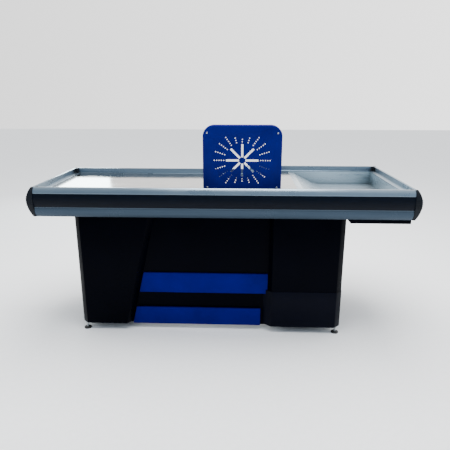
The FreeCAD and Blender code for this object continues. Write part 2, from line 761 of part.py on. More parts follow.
def leg_cover(label, side, outer, edges_low_high, bevel, rear, low, high, cutter):
    """Folded steel cover, open at the back and on the side of the kneehole."""
    body = new_body(label)
    for name, inset in (("outside", "0"), ("inside", "dims.sheet")):
        sketches = []
        for level, height, edge in (("low", low, edges_low_high[0]),
                                    ("high", high, edges_low_high[1])):
            place = height
            if name == "inside":
                place = "%s %s 5" % (height, "-" if level == "low" else "+")
            sketch = new_sketch(body, "%s_%s_%s" % (label, name, level), "XY_Plane", place)
            outline(sketch, leg_plan(side, outer, edge, bevel, rear, inset))
            sketches.append(sketch)
        kind = "PartDesign::AdditiveLoft" if name == "outside" else "PartDesign::SubtractiveLoft"
        loft = body.newObject(kind, "%s_%s" % (label, name))
        loft.Profile = sketches[0]
        loft.Sections = [sketches[1]]
        loft.Ruled = True
        doc.recompute()
    trim = new_sketch(body, label + "_trim", "XY_Plane")
    outline(trim, rectangle((cutter[0], "%s - 0.5" % PANEL), (cutter[1], "%s + 900" % PANEL)))
    pocket_all(body, label + "_kneehole", trim)
    keep(body, label)


def pedestals():
    leg_cover(
        "left_leg_cover", -1, "dims.cabinet_left",
        ("dims.left_front_low", "dims.left_front_high"), "dims.left_bevel", LEFT_REAR,
        "dims.leg_bottom", "dims.leg_top", ("dims.cabinet_left + 60", "dims.cabinet_left + 900"))
    leg_cover(
        "right_leg_cover", 1, "dims.cabinet_right",
        ("dims.right_front", "dims.right_front"), "dims.right_bevel", RIGHT_REAR,
        "dims.leg_bottom", "dims.leg_top", ("0", "dims.cabinet_right - 60"))


INNER_LEFT = "(dims.left_front_low + 70)"
INNER_RIGHT = "(dims.right_front + 6)"


def leg_linings():
    """Kneehole side, base and shelf of each pedestal."""
    behind = "%s + 2" % PANEL
    for name, near, low_x, high_x, rear in (
            ("left", INNER_LEFT, "dims.cabinet_left + dims.sheet + 0.2", INNER_LEFT, LEFT_REAR),
            ("right", INNER_RIGHT, INNER_RIGHT + " + dims.sheet",
             "dims.cabinet_right - dims.sheet - 0.2", RIGHT_REAR)):
        keep(box("side_%s" % name, [near, behind, "dims.leg_bottom"],
                 [near + " + dims.sheet", rear, "dims.leg_top"]), name + "_leg_inner_side")
        tray = open_box(
            "base_%s" % name, [low_x, behind, "dims.leg_bottom"],
            [high_x, "%s - 6" % rear, "dims.leg_bottom + 25"], "dims.sheet", ["+z"])
        across, along = [spot[1:] for spot in FEET if spot[0] == "back_" + name][0]
        hole = rod("base_hole_" + name, "dims.stem_radius + 1", "20",
                   (across, along, "dims.leg_bottom - 10"))
        keep(cut("base_with_hole_" + name, tray, hole), name + "_leg_base")
    shelf = open_box(
        "shelf", [INNER_RIGHT + " + dims.sheet", "%s + 30" % PANEL, "360"],
        ["dims.cabinet_right - dims.sheet - 0.2", "%s - 12" % RIGHT_REAR, "380"],
        "dims.sheet", ["-z"])
    keep(shelf, "right_leg_shelf")


def kick_plate():
    """Plate lapped over the foot of the right pedestal, with a wide inner bevel."""
    body = new_body("kick_skin")
    skin = "dims.kick_gap"
    outer = "dims.cabinet_right"
    wall = "%s + %s" % (outer, skin)
    front = "%s - %s" % (FACE, skin)
    thick = "(%s + dims.sheet)" % skin
    miter = "%s * dims.half_bend" % thick
    edge = "dims.right_front"
    rear = "%s + dims.leg_bevel + 18" % FACE
    bevel_end = "%s - dims.kick_bevel" % edge
    panel = "%s - 1" % PANEL
    sketch = new_sketch(body, "kick_plan", "XY_Plane", "dims.leg_bottom - 2")
    outline(sketch, [
        ("%s + %s" % (outer, thick), rear),
        (wall, rear),
        (wall, "%s + dims.leg_bevel - %s * dims.half_bend" % (FACE, skin)),
        ("%s - dims.leg_bevel + %s * dims.half_bend" % (outer, skin), front),
        (edge, front),
        (bevel_end, panel),
        ("%s - dims.sheet * 1.3" % bevel_end, panel),
        ("%s - dims.sheet * 0.4" % edge, "%s - %s" % (FACE, thick)),
        ("%s - dims.leg_bevel + %s" % (outer, miter), "%s - %s" % (FACE, thick)),
        ("%s + %s" % (outer, thick), "%s + dims.leg_bevel - %s" % (FACE, miter)),
    ])
    pad(body, "kick_pad", sketch, "dims.kick_height - dims.leg_bottom + 2")
    notch = box("kick_notch",
                [bevel_end + " - 5", PANEL + " - dims.band_depth - 1", "dims.high_band_bottom - 1"],
                [edge, PANEL + " + 5", "dims.kick_height + 1"])
    keep(cut("kick_notched", body, notch), "right_kick_plate")


def centre_panel():
    """Black panel set back between the pedestals."""
    keep(box("panel", [INNER_LEFT + " - 60", PANEL, "dims.panel_bottom"],
             [INNER_RIGHT + " - 0.5", "%s + dims.sheet" % PANEL, "dims.leg_top"]), "centre_panel")


def left_edge_at(height):
    """Inner edge of the left pedestal where it meets the centre panel."""
    lean = "(dims.left_front_high - dims.left_front_low) / (dims.leg_top - dims.leg_bottom)"
    return "(dims.left_front_low + dims.left_bevel + (%s - dims.leg_bottom) * %s)" % (height, lean)


def blue_band(label, low, high, right):
    """Shallow blue cover whose left end follows the slanted pedestal."""
    body = new_body(label)
    front = "-(%s) + 0.2" % PANEL
    for name, inset, place, depth in (
            ("outside", "0", front, "dims.band_depth"),
            ("inside", "dims.sheet", front + " - 10", "dims.band_depth + 10 - dims.sheet")):
        sketch = new_sketch(body, "%s_%s" % (label, name), "XZ_Plane", place)
        gap = "dims.band_end_gap + %s" % inset
        foot = "%s + %s" % (low, inset)
        head = "%s - %s" % (high, inset)
        points = [
            ("%s + %s" % (left_edge_at(low), gap), foot),
            ("%s - %s" % (right, gap), foot),
            ("%s - %s" % (right, gap), head),
            ("%s + %s" % (left_edge_at(high), gap), head),
        ]
        outline(sketch, points)
        if name == "outside":
            pad(body, label + "_block", sketch, depth)
        else:
            feature = body.newObject("PartDesign::Pocket", label + "_hollow")
            feature.Profile = sketch
            feature.Reversed = True
            feature.setExpression("Length", depth)
        doc.recompute()
    keep(body, label)


# ---- feet ----

FEET = [
    ("front_left", "dims.cabinet_left + dims.foot_inset", FACE + " + dims.foot_setback"),
    ("front_right", "dims.cabinet_right - dims.foot_inset", FACE + " + dims.foot_setback"),
    ("back_left", "dims.cabinet_left + dims.foot_inset", "%s - 36" % LEFT_REAR),
    ("back_right", "dims.cabinet_right - dims.foot_inset", "%s - 36" % RIGHT_REAR),
]


def foot(name, across, along):
    """Pad with a socket, and the threaded stem that stands in it."""
    body = new_body("foot_pad_" + name)
    sketch = new_sketch(body, "pad_section_" + name, "XZ_Plane")
    outline(sketch, [
        ("0", "0"), ("dims.pad_radius - 2", "0"), ("dims.pad_radius", "2"),
        ("dims.pad_radius", "5"), ("dims.stem_radius + 4", "dims.pad_height"),
        ("dims.stem_radius + 0.2", "dims.pad_height"), ("dims.stem_radius + 0.2", "4"),
        ("0", "4")])
    turned = body.newObject("PartDesign::Revolution", "pad_turned_" + name)
    turned.Profile = sketch
    turned.ReferenceAxis = (sketch, ["V_Axis"])
    body.setExpression("Placement.Base.x", across)
    body.setExpression("Placement.Base.y", along)
    keep(body, "foot_pad_" + name)
    keep(rod("foot_rod_" + name, "dims.stem_radius", "dims.stem_top - 4", (across, along, "4")),
         "foot_stem_" + name)


def hexagon(name, across, along, low, height):
    """Nut with a clear bore for a foot stem."""
    body = new_body(name)
    sketch = new_sketch(body, name + "_flats", "XY_Plane", low)
    corner = "dims.nut_across / 1.7320508"
    outline(sketch, [
        ("%s * %.6f" % (corner, math.cos(math.radians(turn))),
         "%s * %.6f" % (corner, math.sin(math.radians(turn)))) for turn in range(0, 360, 60)])
    circle(sketch, ("0", "0"), "dims.stem_radius + 0.05")
    pad(body, name + "_pad", sketch, height)
    body.setExpression("Placement.Base.x", across)
    body.setExpression("Placement.Base.y", along)
    return body


def foot_plate(name, across, along):
    """Steel plate under the pedestal that holds a foot's stem; drawn about the stem."""
    side = 1 if "left" in name else -1
    outer = "(dims.foot_inset - dims.sheet - 0.4)"
    inner = "dims.plate_inner"
    body = new_body("plate_" + name)
    sketch = new_sketch(body, "plate_plan_" + name, "XY_Plane",
                        "dims.leg_bottom - 0.2 - dims.plate_sheet")
    if "front" in name:
        front = "(-dims.plate_front)"
        corner = "(dims.leg_bevel - dims.foot_inset - dims.foot_setback + 1)"
        points = [
            ("-" + outer, "%s + %s" % (corner, outer)),
            ("%s - %s" % (corner, front), front),
            (inner, front),
            (inner, "dims.plate_rear"),
            ("-" + outer, "dims.plate_rear"),
        ]
    else:
        points = rectangle(("-" + outer, "-24"), (inner, "24"))
    outline(sketch, [("%d * (%s)" % (side, x), y) for x, y in points])
    circle(sketch, ("0", "0"), "dims.stem_radius + 0.05")
    pad(body, "plate_pad_" + name, sketch, "dims.plate_sheet")
    body.setExpression("Placement.Base.x", across)
    body.setExpression("Placement.Base.y", along)
    return body


def feet():
    nuts = []
    plates = []
    for name, across, along in FEET:
        foot(name, across, along)
        nuts.append(hexagon("lock_nut_" + name, across, along,
                            "dims.leg_bottom - 3.2 - dims.nut_height", "dims.nut_height"))
        plates.append(foot_plate(name, across, along))
    group("foot_lock_nuts", nuts)
    group("foot_plates", plates)


# ---- cash drawer ----

DRAWER_TOP = "(dims.leg_top - dims.drawer_drop)"
DRAWER_FOOT = "(dims.leg_top - dims.drawer_drop - dims.drawer_height)"
DRAWER_LEFT = "(dims.drawer_place - dims.drawer_width / 2)"
DRAWER_RIGHT = "(dims.drawer_place + dims.drawer_width / 2)"
DRAWER_BACK = "(dims.drawer_face - dims.drawer_depth)"


def drawer_hangers():
    """Two folded strips that hang the drawer's housing from the frame's cross tubes."""
    strips = []
    for name, wall, way in (("left", DRAWER_LEFT, 1), ("right", DRAWER_RIGHT, -1)):
        ends = ["%s + %d * %s" % (wall, way, reach) for reach in (2, 14)]
        low_x, high_x = ends if way > 0 else ends[::-1]
        strips.append(box("hanger_" + name, [low_x, DRAWER_BACK + " + 20", DRAWER_TOP],
                          [high_x, "dims.drawer_face - 20", "dims.leg_top"]))
    group("drawer_hangers", strips)


def cash_drawer():
    drawer_hangers()
    keep(open_box("drawer_case", [DRAWER_LEFT, DRAWER_BACK, DRAWER_FOOT],
                  [DRAWER_RIGHT, "dims.drawer_face", DRAWER_TOP], "dims.sheet", ["+y"]),
         "cash_drawer_case")
    channels = []
    runners = []
    for name, wall, way in (("left", DRAWER_LEFT, 1), ("right", DRAWER_RIGHT, -1)):
        for pieces, near, far in ((channels, 1.5, 7), (runners, 7.3, 12)):
            ends = ["%s + %d * %s" % (wall, way, reach) for reach in (near, far)]
            low_x, high_x = ends if way > 0 else ends[::-1]
            pieces.append(box(
                "slide_%s_%d" % (name, int(near)),
                [low_x, DRAWER_BACK + " + 12", DRAWER_FOOT + " + 24"],
                [high_x, "dims.drawer_face - 6", DRAWER_FOOT + " + 50"]))
    group("drawer_slide_channels", channels)
    group("drawer_slide_runners", runners)
    keep(open_box("tray_box", [DRAWER_LEFT + " + 12", DRAWER_BACK + " + 14", DRAWER_FOOT + " + 6"],
                  [DRAWER_RIGHT + " - 12", "dims.drawer_face - 1", DRAWER_TOP + " - 12"],
                  "dims.sheet", ["+z"]), "cash_drawer_tray")
    plate = open_box("front_plate",
                     [DRAWER_LEFT + " + 0.5", "dims.drawer_face + 0.6", DRAWER_FOOT + " + 1"],
                     [DRAWER_RIGHT + " - 0.5", "dims.drawer_face + 14", DRAWER_TOP + " - 1.5"],
                     "dims.sheet", ["-y"])
    bore = rod("front_lock_bore", "9.3", "40",
               ("dims.drawer_place", "dims.drawer_face + 30", DRAWER_TOP + " - 28"),
               FreeCAD.Rotation(FreeCAD.Vector(1, 0, 0), QUARTER))
    keep(cut("front_with_bore", plate, bore), "cash_drawer_front")
    coin_tray()
    lock("cash_drawer_lock", "dims.drawer_place", "dims.drawer_face + 14.3",
         DRAWER_TOP + " - 28")


def coin_tray():
    """Moulded insert: four note bays at the back and five coin cups in front."""
    low = [DRAWER_LEFT + " + 16", DRAWER_BACK + " + 18", DRAWER_FOOT + " + 8"]
    high = [DRAWER_RIGHT + " - 16", "dims.drawer_face - 6", DRAWER_FOOT + " + 62"]
    shell = box("coin_tray_block", low, high)
    cups = []
    split = DRAWER_BACK + " + 255"
    for count, near, far, prefix in ((4, low[1] + " + 3", split, "note"),
                                     (5, split + " + 3", high[1] + " - 3", "coin")):
        pitch = "((%s) - (%s) - 3) / %d" % (high[0], low[0], count)
        for index in range(count):
            left = "%s + 3 + %d * %s" % (low[0], index, pitch)
            cups.append(box("%s_cup_%d" % (prefix, index), [left, near, low[2] + " + 3"],
                            ["%s + %s - 3" % (left, pitch), far, high[2] + " + 5"]))
    keep(cut("coin_tray_moulding", shell, fuse("coin_tray_cups", cups)), "coin_tray")


def lock(label, across, along, height):
    """Turning lock barrel: round head with a key slot, and its shaft."""
    turn = FreeCAD.Rotation(FreeCAD.Vector(1, 0, 0), QUARTER)
    head = rod(label + "_head", "11", "2.5", (across, "%s + 2.5" % along, height), turn)
    shaft = rod(label + "_shaft", "9", "13", (across, along, height), turn)
    slot = box(label + "_slot", ["%s - 1" % across, "%s + 0.5" % along, "%s - 5" % height],
               ["%s + 1" % across, "%s + 5" % along, "%s + 5" % height])
    keep(cut(label + "_keyed", fuse(label + "_turned", [head, shaft]), slot), label)


# ---- cabinet door on the cashier's side ----

DOOR_LEFT = "(dims.right_front + 12)"
DOOR_RIGHT = "(dims.cabinet_right - dims.sheet - 15.5)"
PIN_X = "(dims.cabinet_right - dims.sheet - 8)"
PIN_Y = "(dims.top_depth / 2 - dims.leg_setback + 1)"


def cabinet_door():
    back = RIGHT_REAR
    panel = open_box("door_shell", [DOOR_LEFT, "%s - 4" % back, "dims.door_bottom"],
                     [DOOR_RIGHT, "%s + 12" % back, "dims.door_top"], "dims.sheet", ["-y"])
    bore = rod("door_lock_bore", "9.3", "40", (DOOR_LEFT + " + 34", "%s + 30" % back, "420"),
               FreeCAD.Rotation(FreeCAD.Vector(1, 0, 0), QUARTER))
    keep(cut("door_with_bore", panel, bore), "cabinet_door")
    fixed = []
    swung = []
    pins = []
    for name, place in (("low", "110"), ("high", "590")):
        pins.append(rod("pin_" + name, "dims.pin_radius", "60", (PIN_X, PIN_Y, place)))
        hole = {}
        for part in ("fixed", "swung"):
            hole[part] = rod("knuckle_bore_%s_%s" % (part, name), "dims.pin_radius + 0.05", "80",
                             (PIN_X, PIN_Y, place + " - 10"))
        lower = rod("knuckle_low_" + name, "dims.knuckle_radius", "29", (PIN_X, PIN_Y, place))
        upper = rod("knuckle_high_" + name, "dims.knuckle_radius", "29",
                    (PIN_X, PIN_Y, place + " + 31"))
        wing = box("leaf_fixed_" + name,
                   [PIN_X + " + dims.knuckle_radius - 2", PIN_Y + " - 46", place],
                   ["dims.cabinet_right - dims.sheet - 0.1", PIN_Y + " - 2", place + " + 29"])
        leaf = box("leaf_swung_" + name,
                   [DOOR_RIGHT + " - 30", back + " + 12.2", place + " + 31"],
                   [PIN_X, back + " + 14.2", place + " + 60"])
        strap = box("strap_swung_" + name,
                    [PIN_X + " - 2", PIN_Y, place + " + 31"],
                    [PIN_X, back + " + 14.2", place + " + 60"])
        fixed.append(cut("hinge_fixed_" + name, fuse("fixed_" + name, [lower, wing]),
                         hole["fixed"]))
        swung.append(cut("hinge_swung_" + name, fuse("swung_" + name, [upper, leaf, strap]),
                         hole["swung"]))
    group("door_hinge_frame_leaves", fixed)
    group("door_hinge_door_leaves", swung)
    group("door_hinge_pins", pins)
    grip = []
    for name, place in (("low", "492"), ("high", "612")):
        grip.append(box("grip_post_" + name,
                        [DOOR_LEFT + " + 28", "%s + 12.1" % back, place],
                        [DOOR_LEFT + " + 40", "%s + 38" % back, place + " + 12"]))
    grip.append(box("grip_bar", [DOOR_LEFT + " + 28", "%s + 34" % back, "492"],
                    [DOOR_LEFT + " + 40", "%s + 42" % back, "624"]))
    keep(fuse("door_grip", grip), "door_handle")
    lock("door_lock", DOOR_LEFT + " + 34", "%s + 12.3" % back, "420")


def build():
    fill_sheet()
    edges()
    for name, corner, turn in CORNERS:
        corner_cap("corner_cap_" + name, corner, turn)
    corner_posts()
    steel_deck()
    bagging_basin()
    under_tray()
    top_frame()
    screen_panel()
    screen_stays()
    screen_screws()
    pedestals()
    leg_linings()
    kick_plate()
    centre_panel()
    blue_band("upper_blue_band", "dims.high_band_bottom", "dims.high_band_top",
              "(dims.right_front - dims.right_bevel)")
    blue_band("lower_blue_band", "dims.low_band_bottom", "dims.low_band_top",
              "(dims.right_front - dims.kick_bevel - 12)")
    feet()
    cash_drawer()
    cabinet_door()
    doc.recompute()


def check():
    """Stops if any object failed or any sub-part isn't a sound solid."""
    for item in doc.Objects:
        if "Invalid" in item.State or "Error" in item.State:
            raise RuntimeError("%s is %s" % (item.Label, item.State))
    for node in nodes:
        if node.Shape.isNull() or not node.Shape.isValid() or not node.Shape.Solids:
            raise RuntimeError("%s has no sound shape" % node.Label)


def write():
    os.makedirs("parts", exist_ok=True)
    for node in nodes:
        node.Shape.exportStep(os.path.join("parts", node.Label + ".step"))


build()
check()
write()
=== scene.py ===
import json
import math

import bpy
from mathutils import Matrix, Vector


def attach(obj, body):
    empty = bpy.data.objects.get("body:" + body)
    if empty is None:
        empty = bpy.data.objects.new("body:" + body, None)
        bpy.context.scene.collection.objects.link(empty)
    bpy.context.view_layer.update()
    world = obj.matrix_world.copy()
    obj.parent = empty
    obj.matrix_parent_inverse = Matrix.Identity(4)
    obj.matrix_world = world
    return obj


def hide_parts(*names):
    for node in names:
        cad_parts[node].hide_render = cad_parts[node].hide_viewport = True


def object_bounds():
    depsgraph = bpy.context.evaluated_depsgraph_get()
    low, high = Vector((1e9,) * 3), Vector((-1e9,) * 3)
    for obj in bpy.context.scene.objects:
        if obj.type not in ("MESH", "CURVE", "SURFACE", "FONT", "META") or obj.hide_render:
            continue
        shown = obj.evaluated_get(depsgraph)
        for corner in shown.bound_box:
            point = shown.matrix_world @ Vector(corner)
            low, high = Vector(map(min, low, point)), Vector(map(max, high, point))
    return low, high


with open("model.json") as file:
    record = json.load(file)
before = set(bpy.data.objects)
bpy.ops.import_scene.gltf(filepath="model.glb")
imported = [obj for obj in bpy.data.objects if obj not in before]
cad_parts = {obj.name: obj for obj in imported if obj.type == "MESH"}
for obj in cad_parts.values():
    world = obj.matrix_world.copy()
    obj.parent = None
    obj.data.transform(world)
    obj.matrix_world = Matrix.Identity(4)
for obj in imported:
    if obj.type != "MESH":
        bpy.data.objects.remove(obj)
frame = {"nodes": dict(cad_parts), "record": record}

# Checkout counter: aluminium edge with a black bumper, stainless deck and basin,
# gloss black pedestals with two blue bands, and a blue vented screen.
# Metres, in the frame's own axes: +X along the counter, -Y to the customer, +Z up.

NODES = frame["nodes"]
MM = 0.001
cad_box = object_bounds()


# ---- colours and shader nodes ----

def colour(code):
    """sRGB hex to linear RGBA."""
    parts = [int(code[k:k + 2], 16) / 255 for k in (1, 3, 5)]
    linear = [c / 12.92 if c <= 0.04045 else ((c + 0.055) / 1.055) ** 2.4 for c in parts]
    return (*linear, 1.0)


def add(tree, kind, settings=None, inputs=None, links=None):
    """Adds one node with its settings, socket values and links into it."""
    node = tree.nodes.new(kind)
    for name, setting in (settings or {}).items():
        setattr(node, name, setting)
    for name, number in (inputs or {}).items():
        node.inputs[name].default_value = number
    for name, source in (links or {}).items():
        tree.links.new(source, node.inputs[name])
    return node


def new_material(name):
    material = bpy.data.materials.new(name)
    material.use_nodes = True
    tree = material.node_tree
    tree.nodes.clear()
    return material, tree


def object_place(tree):
    return add(tree, "ShaderNodeTexCoord").outputs["Object"]


def cells(tree, *sizes):
    """Object coordinates counted in cells of these sizes in millimetres, one size for
    every axis or one for each."""
    sizes = sizes * 3 if len(sizes) == 1 else sizes
    return add(tree, "ShaderNodeMapping", inputs={"Scale": [1 / (size * MM) for size in sizes]},
               links={"Vector": object_place(tree)}).outputs["Vector"]


def noise(tree, vector, detail=4.0, roughness=0.55):
    return add(tree, "ShaderNodeTexNoise",
               inputs={"Scale": 1.0, "Detail": detail, "Roughness": roughness},
               links={"Vector": vector}).outputs["Fac"]


def spread(tree, source, low, high, from_low=0.3, from_high=0.7):
    """Maps a pattern onto a range of numbers."""
    return add(tree, "ShaderNodeMapRange",
               inputs={"From Min": from_low, "From Max": from_high,
                       "To Min": low, "To Max": high},
               links={"Value": source}).outputs["Result"]


# sockets of the Mix node that hold and give colours
FIRST_COLOUR, SECOND_COLOUR, MIXED_COLOUR = 6, 7, 2


def blend_colours(tree, factor, first, second):
    """Mixes two colours, each a hex code or the output of another node."""
    mix = add(tree, "ShaderNodeMix", {"data_type": "RGBA"}, links={"Factor": factor})
    for socket, tone in ((FIRST_COLOUR, first), (SECOND_COLOUR, second)):
        if isinstance(tone, str):
            mix.inputs[socket].default_value = colour(tone)
        else:
            tree.links.new(tone, mix.inputs[socket])
    return mix.outputs[MIXED_COLOUR]


def bump(tree, height, rise, strength=1.0, under=None):
    """Relief of a pattern that rises this many millimetres, laid over another relief."""
    links = {"Height": height}
    if under is not None:
        links["Normal"] = under
    return add(tree, "ShaderNodeBump", inputs={"Strength": strength, "Distance": rise * MM},
               links=links).outputs["Normal"]


def surface(tree, base, rough, normal, **sockets):
    """Principled shader; sockets gives further plain values."""
    shader = add(tree, "ShaderNodeBsdfPrincipled",
                 links={"Base Color": base, "Roughness": rough, "Normal": normal})
    for name, number in sockets.items():
        shader.inputs[name.replace("_", " ")].default_value = number
    add(tree, "ShaderNodeOutputMaterial", links={"Surface": shader.outputs["BSDF"]})


# ---- materials ----

# heights between which the edge turns from its painted shade, darker below, to its own bright
# tone above
PAINTED_SHADE_BELOW = 0.750
PAINTED_SHADE_GONE_ABOVE = 0.762


def anodised_aluminium(along):
    """Clear anodised 6063 extrusion: satin, with faint die lines along its length, drawn
    1.1 mm apart where the real ones are finer. The band under the bumper has painted shade:
    it is drawn darker below a given height, standing in for the darker room it reflects."""
    material, tree = new_material("anodised_aluminium_" + along)
    die = (500, 1.11, 1.11) if along == "x" else (1.11, 500, 1.11)
    lines = noise(tree, cells(tree, *die), 3.0)
    cloud = noise(tree, cells(tree, 111), 5.0)
    tone = spread(tree, lines, 0, 1)
    upper = blend_colours(tree, tone, "#7b8a95", "#8d9daa")
    # painted shade: the band under the bumper is drawn in this darker tone, standing in for the
    # darker surroundings it reflects
    lower = blend_colours(tree, tone, "#2e3945", "#37434f")
    place = add(tree, "ShaderNodeSeparateXYZ", links={"Vector": object_place(tree)})
    height = spread(tree, place.outputs["Z"], 0, 1, PAINTED_SHADE_BELOW, PAINTED_SHADE_GONE_ABOVE)
    base = blend_colours(tree, height, lower, upper)
    rough = spread(tree, cloud, 0.24, 0.36)
    surface(tree, base, rough, bump(tree, lines, 0.02, 0.35), Metallic=1.0)
    return material


def bumper_pvc():
    """Extruded soft PVC: near black, a wax-like sheen, fine scuffs along the strip."""
    material, tree = new_material("bumper_pvc")
    scuffs = noise(tree, cells(tree, 71.4, 71.4, 1.67), 6.0, 0.7)
    cloud = noise(tree, cells(tree, 45.5), 4.0)
    base = blend_colours(tree, spread(tree, scuffs, 0, 1, 0.45, 0.8), "#02060f", "#081222")
    rough = spread(tree, cloud, 0.30, 0.44)
    surface(tree, base, rough, bump(tree, scuffs, 0.04, 0.5), Specular_IOR_Level=0.08)
    return material


def moulded_abs(name, dark, light):
    """Injection moulded ABS: matt spark-eroded grain, drawn 0.9 mm across where the real
    one is 0.1 mm, so that it shows."""
    material, tree = new_material(name)
    grain = add(tree, "ShaderNodeTexVoronoi", {"feature": "F1"}, {"Scale": 1.0},
                {"Vector": cells(tree, 0.9)}).outputs["Distance"]
    cloud = noise(tree, cells(tree, 33.3), 3.0)
    base = blend_colours(tree, spread(tree, cloud, 0, 1), dark, light)
    rough = spread(tree, cloud, 0.42, 0.56)
    surface(tree, base, rough, bump(tree, grain, 0.06, 0.5), Specular_IOR_Level=0.14)
    return material


def bright_stainless():
    """Bright annealed 304 sheet: mirror-like, with hairline scratches drawn 2 mm apart so
    that they show, hand smears and a slight oil canning."""
    material, tree = new_material("bright_stainless")
    hair = noise(tree, cells(tree, 167, 2, 2), 3.0)
    waves = noise(tree, cells(tree, 385), 2.0)
    smear = noise(tree, cells(tree, 143, 89.3, 143), 6.0, 0.62)
    base = blend_colours(tree, spread(tree, smear, 0, 1), "#aeaba7", "#c3c0bc")
    rough = spread(tree, smear, 0.07, 0.17)
    oil_canning = bump(tree, waves, 0.3, 0.3)
    surface(tree, base, rough, bump(tree, hair, 0.01, 0.25, oil_canning), Metallic=1.0)
    return material


def satin_stainless():
    """Number 4 finish 304 sheet: satin, brushed along the slide of the goods in lines drawn
    1.4 mm apart so that they show. It has painted shade in its creases, drawn darker where an
    ambient occlusion node finds them, which the even studio light would otherwise wash out."""
    material, tree = new_material("satin_stainless")
    brush = noise(tree, cells(tree, 200, 1.43, 1.43), 4.0, 0.6)
    wear = noise(tree, cells(tree, 333, 16.7, 16.7), 6.0, 0.7)
    sheet = blend_colours(tree, spread(tree, brush, 0, 1), "#c3d0d8", "#dbe6ec")
    # painted shade: the sheet's colour is drawn darker, towards #59666a, where ambient
    # occlusion finds creases
    painted_crease_shade = add(tree, "ShaderNodeAmbientOcclusion", {"samples": 8}, {"Distance": 0.12})
    painted_shade_amount = spread(tree, painted_crease_shade.outputs["AO"], 0.25, 1.0, 0.35, 0.85)
    base = blend_colours(tree, painted_shade_amount, "#59666a", sheet)
    rough = spread(tree, wear, 0.24, 0.36)
    surface(tree, base, rough, bump(tree, brush, 0.03, 0.4), Metallic=1.0)
    return material


def powder_coat(name, dark, light, low_rough, high_rough, gloss=0.5, peel=0.12):
    """Polyester powder coat on steel: orange peel of about 4 mm across and peel mm high,
    fine specks, and a few rubbed, duller patches."""
    material, tree = new_material(name)
    orange_peel = noise(tree, cells(tree, 3.85), 2.0)
    rubs = noise(tree, cells(tree, 200), 6.0, 0.68)
    specks = noise(tree, cells(tree, 0.714), 2.0)
    base = blend_colours(tree, spread(tree, rubs, 0, 1), dark, light)
    rough = spread(tree, rubs, low_rough, high_rough)
    skin = bump(tree, orange_peel, peel, 0.4)
    surface(tree, base, rough, bump(tree, specks, 0.02, 0.3, skin), Specular_IOR_Level=gloss)
    return material


def plated_steel(name, dark, light, low_rough, high_rough, bloom_size):
    """Bright zinc, nickel or chrome on steel: metallic, with a cloudy plating bloom of this
    size in millimetres and pits drawn 0.6 mm apart so that they show."""
    material, tree = new_material(name)
    bloom = noise(tree, cells(tree, bloom_size), 5.0, 0.6)
    pits = noise(tree, cells(tree, 0.556), 2.0)
    base = blend_colours(tree, spread(tree, bloom, 0, 1), dark, light)
    rough = spread(tree, bloom, low_rough, high_rough)
    surface(tree, base, rough, bump(tree, pits, 0.03, 0.3), Metallic=1.0)
    return material


def moulded_rubber():
    """Moulded rubber: dull black with a dusty bloom."""
    material, tree = new_material("moulded_rubber")
    dust = noise(tree, cells(tree, 11.1), 6.0, 0.7)
    base = blend_colours(tree, spread(tree, dust, 0, 1, 0.4, 0.8), "#0d0d0e", "#2a2a2b")
    rough = spread(tree, dust, 0.62, 0.85)
    surface(tree, base, rough, bump(tree, dust, 0.15, 0.4), IOR=1.52)
    return material


def studio_paint():
    """Matt emulsion on the studio floor."""
    material, tree = new_material("studio_paint")
    grain = noise(tree, cells(tree, 25), 3.0)
    base = blend_colours(tree, spread(tree, grain, 0, 1), "#f6f6f6", "#fafafa")
    rough = spread(tree, grain, 0.8, 0.9)
    surface(tree, base, rough, bump(tree, grain, 0.2, 0.1))
    return material


RAIL_X = anodised_aluminium("x")
RAIL_Y = anodised_aluminium("y")
PVC = bumper_pvc()
CAP = moulded_abs("corner_cap_abs", "#0a0d12", "#12171e")
DECK = bright_stainless()
BASIN = satin_stainless()
BLACK = powder_coat("gloss_black_powder_coat", "#000106", "#010209", 0.24, 0.38, 0.02)
KICK = powder_coat("kick_plate_powder_coat", "#02030c", "#040613", 0.24, 0.38, 0.04)
BLUE = powder_coat("band_blue_powder_coat", "#050058", "#070068", 0.24, 0.36, 0.03)
SCREEN = powder_coat("screen_blue_powder_coat", "#0a0c58", "#0e1266", 0.28, 0.42, 0.04)
PRIMER = powder_coat("frame_grey_primer", "#3a3c3f", "#4a4c50", 0.5, 0.7, peel=0.24)
ZINC = plated_steel("bright_zinc_plate", "#9ea2a4", "#c2c6c8", 0.22, 0.42, 16.7)
NICKEL = plated_steel("satin_nickel", "#a9a7a2", "#c6c4bf", 0.26, 0.38, 25)
CHROME = plated_steel("bright_chrome", "#d5d7d9", "#eceef0", 0.05, 0.12, 33.3)
RUBBER = moulded_rubber()
TRAY = moulded_abs("till_tray_abs", "#17181a", "#222427")


def finish(piece, material):
    piece.data.materials.clear()
    piece.data.materials.append(material)


# ---- bodies and slots of the nodes ----

BODY_OF = {node: name for name, nodes in frame["record"]["behaviour"]["bodies"].items()
           for node in nodes}
SLOT_OF = {part["node"]: part["material_slot"] for part in frame["record"]["subparts"]}


def stand_for(piece, node, material):
    """Puts a finished piece in the place of a node: its body and finish, and hides the node."""
    finish(piece, material)
    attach(piece, BODY_OF[node])
    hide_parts(node)


# ---- modelling helpers ----

def clear_selection():
    if bpy.context.object is not None and bpy.context.object.mode != "OBJECT":
        bpy.ops.object.mode_set(mode="OBJECT")
    bpy.ops.object.select_all(action="DESELECT")


def choose(piece):
    clear_selection()
    piece.select_set(True)
    bpy.context.view_layer.objects.active = piece


def name_last(name):
    piece = bpy.context.object
    piece.name = name
    piece.data.name = name
    return piece


def settle(piece):
    """Writes the object's place, turn and size into its mesh."""
    choose(piece)
    bpy.ops.object.transform_apply(location=True, rotation=True, scale=True)


